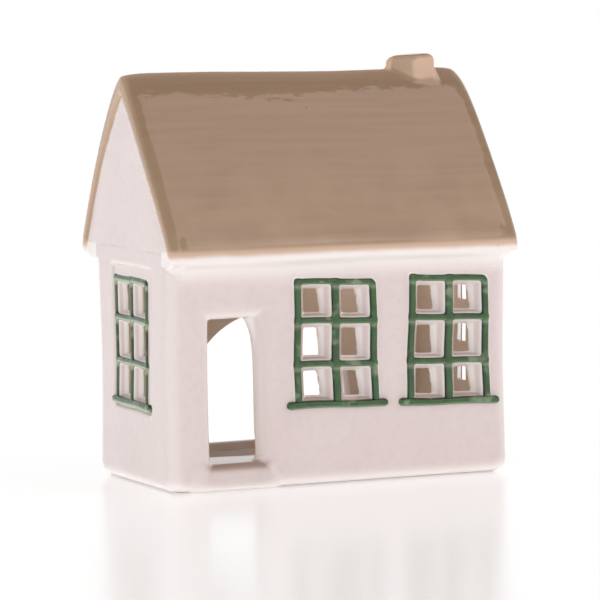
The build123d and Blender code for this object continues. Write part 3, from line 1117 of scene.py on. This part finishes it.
def brown_colour(tree):
    """The roof glaze's colour: brushed along the roof, paler low down and orange where it runs thin."""
    height = parts_of(tree, place(tree))[2]
    sideways, backward, upward = facing(tree)
    colour = blend(tree, patches(tree, STREAKS, stretch=STREAK_STRETCH), BROWN_DARK, BROWN_LIGHT)
    low = between(tree, height, *BROWN_LOW_HEIGHTS)
    colour = blend(tree, sums(tree, "MULTIPLY", low, patches(tree, BROWN_CLOUDS)), colour, BROWN_LOW)
    colour = blend(tree, between(tree, height, EAVE_RUN, EAVE_TOP), colour, BROWN_THIN)
    # The weight of the painted shade is full on the chimney, away from the slabs, so it marks the chimney
    # here.
    on_chimney = relief(tree, "pool", (TOP_SHADE_SHARE, 1))
    run = sums(tree, "MULTIPLY_ADD", noise(tree, *RUN_GRAIN, RUN_STRETCH), RUN_SHARE, backward)
    front = sums(tree, "MULTIPLY", between(tree, run, *RUN_LEVELS), on_chimney)
    colour = blend(tree, front, colour, BROWN_THIN)
    aside = between(tree, sums(tree, "ABSOLUTE", sideways), *SIDE_LEVELS, 0, SIDE_SHARE)
    colour = blend(tree, aside, colour, BROWN_THIN)
    colour = blend(tree, sums(tree, "MULTIPLY", on_chimney, CHIMNEY_SHARE), colour, BROWN_THIN)
    colour = blend(tree, relief(tree, "edge", BROWN_EDGE_LEVELS), colour, BROWN_THIN)
    return blend(tree, pits(tree, BROWN_PITS), colour, BROWN_PIT)


def brown_share(tree):
    """Where the roof is brown: on the slabs' faces and edges, down to a stray line on the eaves."""
    height = parts_of(tree, place(tree))[2]
    stray = noise(tree, *STRAY_GRAIN)
    shift = sums(tree, "MULTIPLY_ADD", stray, BROWN_STRAY, -BROWN_STRAY / 2)
    foot = sums(tree, "ADD", height, shift)
    depth = sums(tree, "MULTIPLY_ADD", stray, BROWN_WANDER, marked(tree, "brown"))
    on_slab = between(tree, depth, BROWN_START, BROWN_START + BROWN_SOFT)
    above = between(tree, foot, BROWN_FOOT - BROWN_FADE, BROWN_FOOT + BROWN_FADE)
    return sums(tree, "MULTIPLY", on_slab, above)


def glaze_surface(tree, shader, ripples, rough, strewn):
    """The skin of a fired glaze: slow and quick ripples, a faint grain and pinholes."""
    slow, quick = ripples
    normal = bump(tree, noise(tree, *SLOW_RIPPLE), slow)
    normal = bump(tree, noise(tree, *QUICK_RIPPLE), quick, normal)
    normal = bump(tree, noise(tree, *FINE_GRAIN), slow / FINE_FALL, normal)
    normal = bump(tree, sums(tree, "SUBTRACT", 1, pits(tree, strewn)), slow, normal)
    tree.links.new(normal, shader.inputs["Normal"])
    glossy(tree, shader, GLOSS, (rough / GLOSS_RATIO, rough))


def white_glaze():
    """The pinkish white glaze of the walls."""
    material, shader = new_material("white_glaze")
    tree = material.node_tree
    tree.links.new(white_colour(tree), shader.inputs["Base Color"])
    glaze_surface(tree, shader, WHITE_RIPPLES, WHITE_ROUGH, WHITE_PITS)
    return material


def roof_glaze():
    """Brown glaze on the slabs and the chimney, and white under the eaves, with a painted highlight on the
    fascia.
    """
    material, shader = new_material("roof_glaze")
    tree = material.node_tree
    height = parts_of(tree, place(tree))[2]
    # Painted highlight: the fascia under the brown is paler.
    above = between(tree, height, FASCIA_FOOT, FASCIA_FOOT + FASCIA_FADE)
    below = between(tree, height, EAVE_TOP + FASCIA_FADE, EAVE_TOP)
    fascia_highlight = sums(tree, "MULTIPLY", above, below)
    white = blend(tree, fascia_highlight, white_colour(tree), WHITE_THIN_AND_HIGHLIGHT)
    colour = blend(tree, brown_share(tree), white, brown_colour(tree))
    tree.links.new(colour, shader.inputs["Base Color"])
    glaze_surface(tree, shader, ROOF_RIPPLES, ROOF_ROUGH, BROWN_PITS)
    return material


def room_glaze(name, light, dark):
    """A cloudy, pitted glaze in the room: the material, its shader and its tree."""
    material, shader = new_material(name)
    tree = material.node_tree
    colour = blend(tree, patches(tree, INSIDE_CLOUDS), light, dark)
    tree.links.new(blend(tree, pits(tree, INSIDE_PITS), colour, BROWN_PIT), shader.inputs["Base Color"])
    return material, shader, tree


def inside_glaze():
    """The thin brownish glaze of the room."""
    material, shader, tree = room_glaze("inside_glaze", INSIDE_LIGHT, INSIDE_DARK)
    grained(tree, shader, INSIDE_GRAIN, INSIDE_DEPTH)
    shader.inputs["Roughness"].default_value = INSIDE_ROUGH
    return material


def floor_glaze():
    """The still, shiny glaze of the room's floor."""
    material, shader, tree = room_glaze("floor_glaze", WHITE, WHITE_CLOUD)
    grained(tree, shader, FLOOR_GRAIN, FLOOR_DEPTH, FLOOR_STRETCH)
    glossy(tree, shader, GLOSS, FLOOR_ROUGH)
    return material


def green_glaze():
    """Green glaze from a brush: uneven, darker towards the edges of the bars, thin and pale in places, with
    a painted sheen on what faces less far up.
    """
    material, shader = new_material("green_glaze")
    tree = material.node_tree
    # Darker towards the edges of the bars, and in random strokes.
    crest_tone = sums(tree, "MULTIPLY", patches(tree, STROKES, STROKE_SHARE), relief(tree, "crest", CREST_LEVELS))
    colour = blend(tree, crest_tone, GREEN_DARK, GREEN_MAIN)
    spots = sums(tree, "MULTIPLY", patches(tree, SPOTS), SPOT_SHARE)
    # Pale in random thin spots, at the crossings, and by the painted sheen.
    thin = sums(tree, "MAXIMUM", spots, relief(tree, "thin", (0, 1)))
    tree.links.new(blend(tree, thin, colour, GREEN_THIN_AND_SHEEN), shader.inputs["Base Color"])
    grained(tree, shader, BRUSH_GRAIN, BRUSH_DEPTH)
    glossy(tree, shader, GREEN_GLOSS, GREEN_ROUGH)
    return material


def paint_house(made):
    """Each ceramic piece gets its glaze, and the room's for the faces inside."""
    white = white_glaze()
    inside = inside_glaze()
    brown = roof_glaze()
    green = green_glaze()
    for node, piece in made.items():
        if "window" in node:
            piece.data.materials.append(green)
            continue
        on_roof = "roof" in node or node == "chimney"
        piece.data.materials.append(brown if on_roof else white)
        piece.data.materials.append(inside)
    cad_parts["floor_slab"].data.materials.clear()
    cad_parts["floor_slab"].data.materials.append(floor_glaze())


def turned(name, profile, flute_depth, middle, slot, node):
    """A closed ring of a profile (radius, height, flute share) turned about an upright axis."""
    angles = np.linspace(0, 2 * math.pi, ROUND_SIDES, endpoint=False)
    radius = np.array([p[0] for p in profile])
    height = np.array([p[1] for p in profile])
    share = np.array([p[2] for p in profile])
    flutes = flute_depth * 0.5 * (1 - np.cos(CUP_FLUTES * angles))
    spread = radius[None, :] - share[None, :] * flutes[:, None]
    points = np.stack([
        middle[0] + spread * np.cos(angles)[:, None],
        middle[1] + spread * np.sin(angles)[:, None],
        np.broadcast_to(height, spread.shape),
    ], -1).reshape(-1, 3)
    count = len(profile)
    ring, stop = np.meshgrid(np.arange(ROUND_SIDES), np.arange(count), indexing="ij")
    after, beyond = (ring + 1) % ROUND_SIDES, (stop + 1) % count
    faces = np.stack([
        ring * count + stop, after * count + stop, after * count + beyond, ring * count + beyond
    ], -1).reshape(-1, 4)
    return new_piece(name, points, faces, "tealight", slot, node)


def make_cup(middle):
    """A pressed foil cup: flat base, fluted side and a rolled rim."""
    rim = (cup_high.x - cup_low.x) / 2
    outer = rim - CUP_RIM
    inner = outer - CUP_WALL
    base, top = cup_low.z, cup_high.z
    profile = [
        (CUP_CORE, base, 0),
        (outer - CUP_BASE_INSET, base, 0),
        (outer - CUP_HEEL_INSET, base + CUP_HEEL_RISE, 0),
        (outer, base + CUP_SIDE_FOOT, 0),
        (outer, base + CUP_FLUTE_FOOT, 1),
        (outer, top - CUP_FLUTE_TOP, 1),
        (outer, top - CUP_SHOULDER, 0),
        (rim, top - CUP_RIM_DROP, 0),
        (rim, top - CUP_RIM_ROUND, 0),
        (rim - CUP_RIM_ROUND, top, 0),
        (inner + CUP_LIP, top - CUP_LIP, 0),
        (inner, top - CUP_LIP_DROP, 0),
        (inner, top - CUP_FLUTE_TOP, 0),
        (inner, base + CUP_FLUTE_FOOT, 0),
        (inner, base + CUP_WALL, 0),
        (CUP_CORE, base + CUP_WALL, 0),
    ]
    return turned("tealight_cup_foil", profile, CUP_FLUTE_DEPTH, middle, "cup_metal", "tealight_cup")


def wax_fall(share):
    """How far the wax lies below its edge, at a share of the way from the cup to the wick."""
    meniscus = WAX_MENISCUS * (1 - math.exp(-share * WAX_MENISCUS_RATE))
    return meniscus + WAX_DISH * share**2 - WAX_WICK_RISE * math.exp((share - 1) * WAX_WICK_RATE)


def make_wax(middle, bore):
    """Wax with a raised rim and a slight dish, bored for the wick and hollow below for its foot."""
    radius = (wax_high.x - wax_low.x) / 2
    base, top = wax_low.z, wax_high.z
    foot_low, foot_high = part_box("wick_sustainer")
    foot = (foot_high.x - foot_low.x) / 2 + WAX_FOOT_GAP
    edge = radius - WAX_LIP
    profile = [(foot, base, 0), (radius, base, 0), (radius, top - WAX_EDGE, 0), (edge, top, 0)]
    for share in np.linspace(0, 1, WAX_STOPS)[1:]:
        profile.append((edge - share * (edge - bore), top - wax_fall(share), 0))
    profile.append((bore, base + WAX_HOLLOW_TOP, 0))
    profile.append((foot * WAX_HOLLOW_SHARE, base + WAX_HOLLOW_SHOULDER, 0))
    profile.append((foot, base + WAX_HOLLOW_SIDE, 0))
    return turned("tealight_wax_cast", profile, 0, middle, "wax", "tealight_wax")


def make_wick():
    """Three twisted strands, which thin out at the tip."""
    middle = (wick_low + wick_high) / 2
    room = (wick_high.x - wick_low.x) / 2
    strand = room * STRAND_SHARE
    offset = room - strand
    rows = np.linspace(wick_low.z + WICK_INSET, wick_high.z - WICK_INSET, WICK_ROWS)
    ring = np.linspace(0, 2 * math.pi, WICK_SIDES, endpoint=False)
    points, faces = [], []
    for number in range(WICK_STRANDS):
        start = len(points)
        for row, z in enumerate(rows):
            turn = 2 * math.pi * (number / WICK_STRANDS + WICK_TURNS * row / WICK_ROWS)
            fray = strand * (1 - FRAY_SHARE * (row / WICK_ROWS) ** FRAY_POWER)
            for angle in ring:
                points.append((
                    middle.x + offset * math.cos(turn) + fray * math.cos(angle),
                    middle.y + offset * math.sin(turn) + fray * math.sin(angle),
                    z,
                ))
        for row in range(WICK_ROWS - 1):
            for side in range(WICK_SIDES):
                a = start + row * WICK_SIDES + side
                b = start + row * WICK_SIDES + (side + 1) % WICK_SIDES
                faces.append((a, b, b + WICK_SIDES, a + WICK_SIDES))
        faces.append(tuple(start + side for side in reversed(range(WICK_SIDES))))
        faces.append(tuple(start + (WICK_ROWS - 1) * WICK_SIDES + side for side in range(WICK_SIDES)))
    return new_piece("wick_twisted", points, faces, "tealight", "wick_cotton", "wick")


def tinted(name, pattern, light, dark):
    """A material of two tints: the material, its shader and its tree."""
    material, shader = new_material(name)
    tree = material.node_tree
    tree.links.new(blend(tree, noise(tree, *pattern), light, dark), shader.inputs["Base Color"])
    return material, shader, tree


def foil_metal():
    """Bright crumpled foil."""
    material, shader, tree = tinted("foil_metal", FOIL_TINT, FOIL_LIGHT, FOIL_DARK)
    shader.inputs["Metallic"].default_value = 1
    glossy(tree, shader, FOIL_GLOSS, FOIL_ROUGH)
    grained(tree, shader, FOIL_GRAIN, FOIL_DEPTH)
    return material


def tin_plate():
    """Dull tinplate."""
    material, shader, tree = tinted("tin_plate", TIN_TINT, TIN_LIGHT, TIN_DARK)
    shader.inputs["Metallic"].default_value = 1
    glossy(tree, shader, TIN_GLOSS, TIN_ROUGH)
    return material


def candle_wax():
    """White paraffin wax, which light enters a little."""
    material, shader, tree = tinted("candle_wax", WAX_TINT, WAX_LIGHT, WAX_DARK)
    shader.inputs["Subsurface Weight"].default_value = WAX_CLEAR_SHARE
    shader.inputs["Subsurface Scale"].default_value = WAX_CLEAR_DEPTH
    glossy(tree, shader, WAX_GLOSS, WAX_ROUGH)
    grained(tree, shader, WAX_GRAIN, WAX_DEPTH)
    return material


def wick_cotton():
    """Waxed cotton, with its fibres along the wick."""
    material, shader, tree = tinted("wick_cotton", COTTON_TINT, COTTON_LIGHT, COTTON_DARK)
    shader.inputs["Roughness"].default_value = COTTON_ROUGH
    grained(tree, shader, COTTON_GRAIN, COTTON_DEPTH, COTTON_STRETCH)
    return material


def make_tealight():
    """The tealight's cup, wax, wick and the wick's tin foot."""
    middle = (cup_low + cup_high) / 2
    bore = (wick_high.x - wick_low.x) / 2 + WICK_GAP
    make_cup(middle).data.materials.append(foil_metal())
    make_wax(middle, bore).data.materials.append(candle_wax())
    make_wick().data.materials.append(wick_cotton())
    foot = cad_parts["wick_sustainer"]
    foot.data.materials.clear()
    foot.data.materials.append(tin_plate())


def set_camera():
    """The photograph's view."""
    level = math.cos(CAMERA_ELEVATION)
    back = Vector((
        math.sin(CAMERA_AZIMUTH) * level,
        -math.cos(CAMERA_AZIMUTH) * level,
        math.sin(CAMERA_ELEVATION),
    ))
    right = (-back).cross(Vector((0, 0, 1))).normalized()
    up = right.cross(-back)
    turned_right = right * math.cos(CAMERA_ROLL) + up * math.sin(CAMERA_ROLL)
    turned_up = up * math.cos(CAMERA_ROLL) - right * math.sin(CAMERA_ROLL)
    data = bpy.data.cameras.new("camera")
    data.lens = CAMERA_LENS
    data.sensor_width = CAMERA_SENSOR
    data.clip_start = CAMERA_NEAR
    camera = bpy.data.objects.new("camera", data)
    bpy.context.scene.collection.objects.link(camera)
    turn = Matrix((turned_right, turned_up, back)).transposed().to_4x4()
    camera.matrix_world = Matrix.Translation(CAMERA_TARGET + CAMERA_DISTANCE * back) @ turn
    bpy.context.scene.camera = camera


def table_surface():
    """A pale, slightly glossy table, which the camera sees as white."""
    material, shader = new_material("floor")
    tree = material.node_tree
    shader.inputs["Roughness"].default_value = TABLE_ROUGH
    path = add_node(tree, "ShaderNodeLightPath")
    tone = blend(tree, path.outputs["Is Camera Ray"], FLOOR_COLOUR, FLOOR_SEEN)
    tree.links.new(tone, shader.inputs["Base Color"])
    seen = sums(tree, "ADD", path.outputs["Is Camera Ray"], path.outputs["Is Glossy Ray"])
    seen = sums(tree, "ADD", seen, path.outputs["Is Transmission Ray"])
    shader.inputs["Emission Color"].default_value = PURE_WHITE
    tree.links.new(between(tree, seen, 0, 1, 0, FLOOR_GLOW), shader.inputs["Emission Strength"])
    return material


def make_floor():
    """A wide pale floor, which keeps the house's shadow."""
    half = FLOOR_HALF
    mesh = bpy.data.meshes.new("floor")
    corners = [(x, y, -FLOOR_DROP) for x, y in ((-half, -half), (half, -half), (half, half), (-half, half))]
    mesh.from_pydata(corners, [], [(0, 1, 2, 3)])
    mesh.materials.append(table_surface())
    floor = bpy.data.objects.new("floor", mesh)
    bpy.context.scene.collection.objects.link(floor)
    return floor


def light_floor(floor):
    """A lamp for the table alone, which then lights the house from below."""
    lit = bpy.data.collections.new("table")
    lit.objects.link(floor)
    data = bpy.data.lights.new("table_light", "SUN")
    data.energy = TABLE_LIGHT
    data.angle = TABLE_SPREAD
    lamp = bpy.data.objects.new("table_light", data)
    bpy.context.scene.collection.objects.link(lamp)
    lamp.light_linking.receiver_collection = lit
    lamp.light_linking.blocker_collection = lit


def make_sky():
    """Soft light all round: white at the horizon, brighter above it and dim overhead."""
    world = bpy.data.worlds.new("studio")
    bpy.context.scene.world = world
    world.use_nodes = True
    tree = world.node_tree
    sideways, backward, upward = parts_of(tree, add_node(tree, "ShaderNodeTexCoord").outputs["Generated"])
    ring = between(tree, upward, *RING_LEVELS, HORIZON_LIGHT, RING_LIGHT)
    overhead = between(tree, upward, *OVERHEAD_LEVELS, 1, 0)
    strength = sums(tree, "MULTIPLY", ring, overhead)
    strength = sums(tree, "MAXIMUM", strength, TOP_LIGHT)
    leftward = between(tree, sideways, 0, -1, 1, 1 + LEFT_SHARE, "LINEAR")
    strength = sums(tree, "MULTIPLY", strength, leftward)
    tree.links.new(strength, tree.nodes["Background"].inputs["Strength"])
    tree.nodes["Background"].inputs["Color"].default_value = PURE_WHITE


def make_softbox():
    """A small softbox overhead, whose reflection covers most of the front roof slab."""
    way = SOFTBOX_WAY.normalized()
    data = bpy.data.lights.new("softbox", "AREA")
    data.shape = "RECTANGLE"
    data.size = SOFTBOX_LENGTH
    data.size_y = SOFTBOX_WIDTH
    data.color = SOFTBOX_COLOUR
    data.energy = SOFTBOX_RADIANCE * math.pi * SOFTBOX_LENGTH * SOFTBOX_WIDTH
    softbox = bpy.data.objects.new("softbox", data)
    bpy.context.scene.collection.objects.link(softbox)
    along = Vector((1, 0, 0))
    across = way.cross(along).normalized()
    along = across.cross(way)
    turn = Matrix((along, across, way)).transposed().to_4x4()
    softbox.matrix_world = Matrix.Translation(SOFTBOX_PLACE + SOFTBOX_DISTANCE * way) @ turn


def light_room():
    """A faint lamp for the light that the pale room throws to and fro."""
    data = bpy.data.lights.new("room_light", "POINT")
    data.energy = ROOM_LIGHT
    data.shadow_soft_size = ROOM_LAMP_RADIUS
    lamp = bpy.data.objects.new("room_light", data)
    lamp.location = ROOM_LAMP_PLACE
    bpy.context.scene.collection.objects.link(lamp)


pieces = {**make_walls(), **make_roof(), **make_joined(), **make_bars()}
paint_house(pieces)
make_tealight()
set_camera()
light_floor(make_floor())
make_sky()
make_softbox()
light_room()
bpy.context.scene.view_settings.view_transform = "Standard"
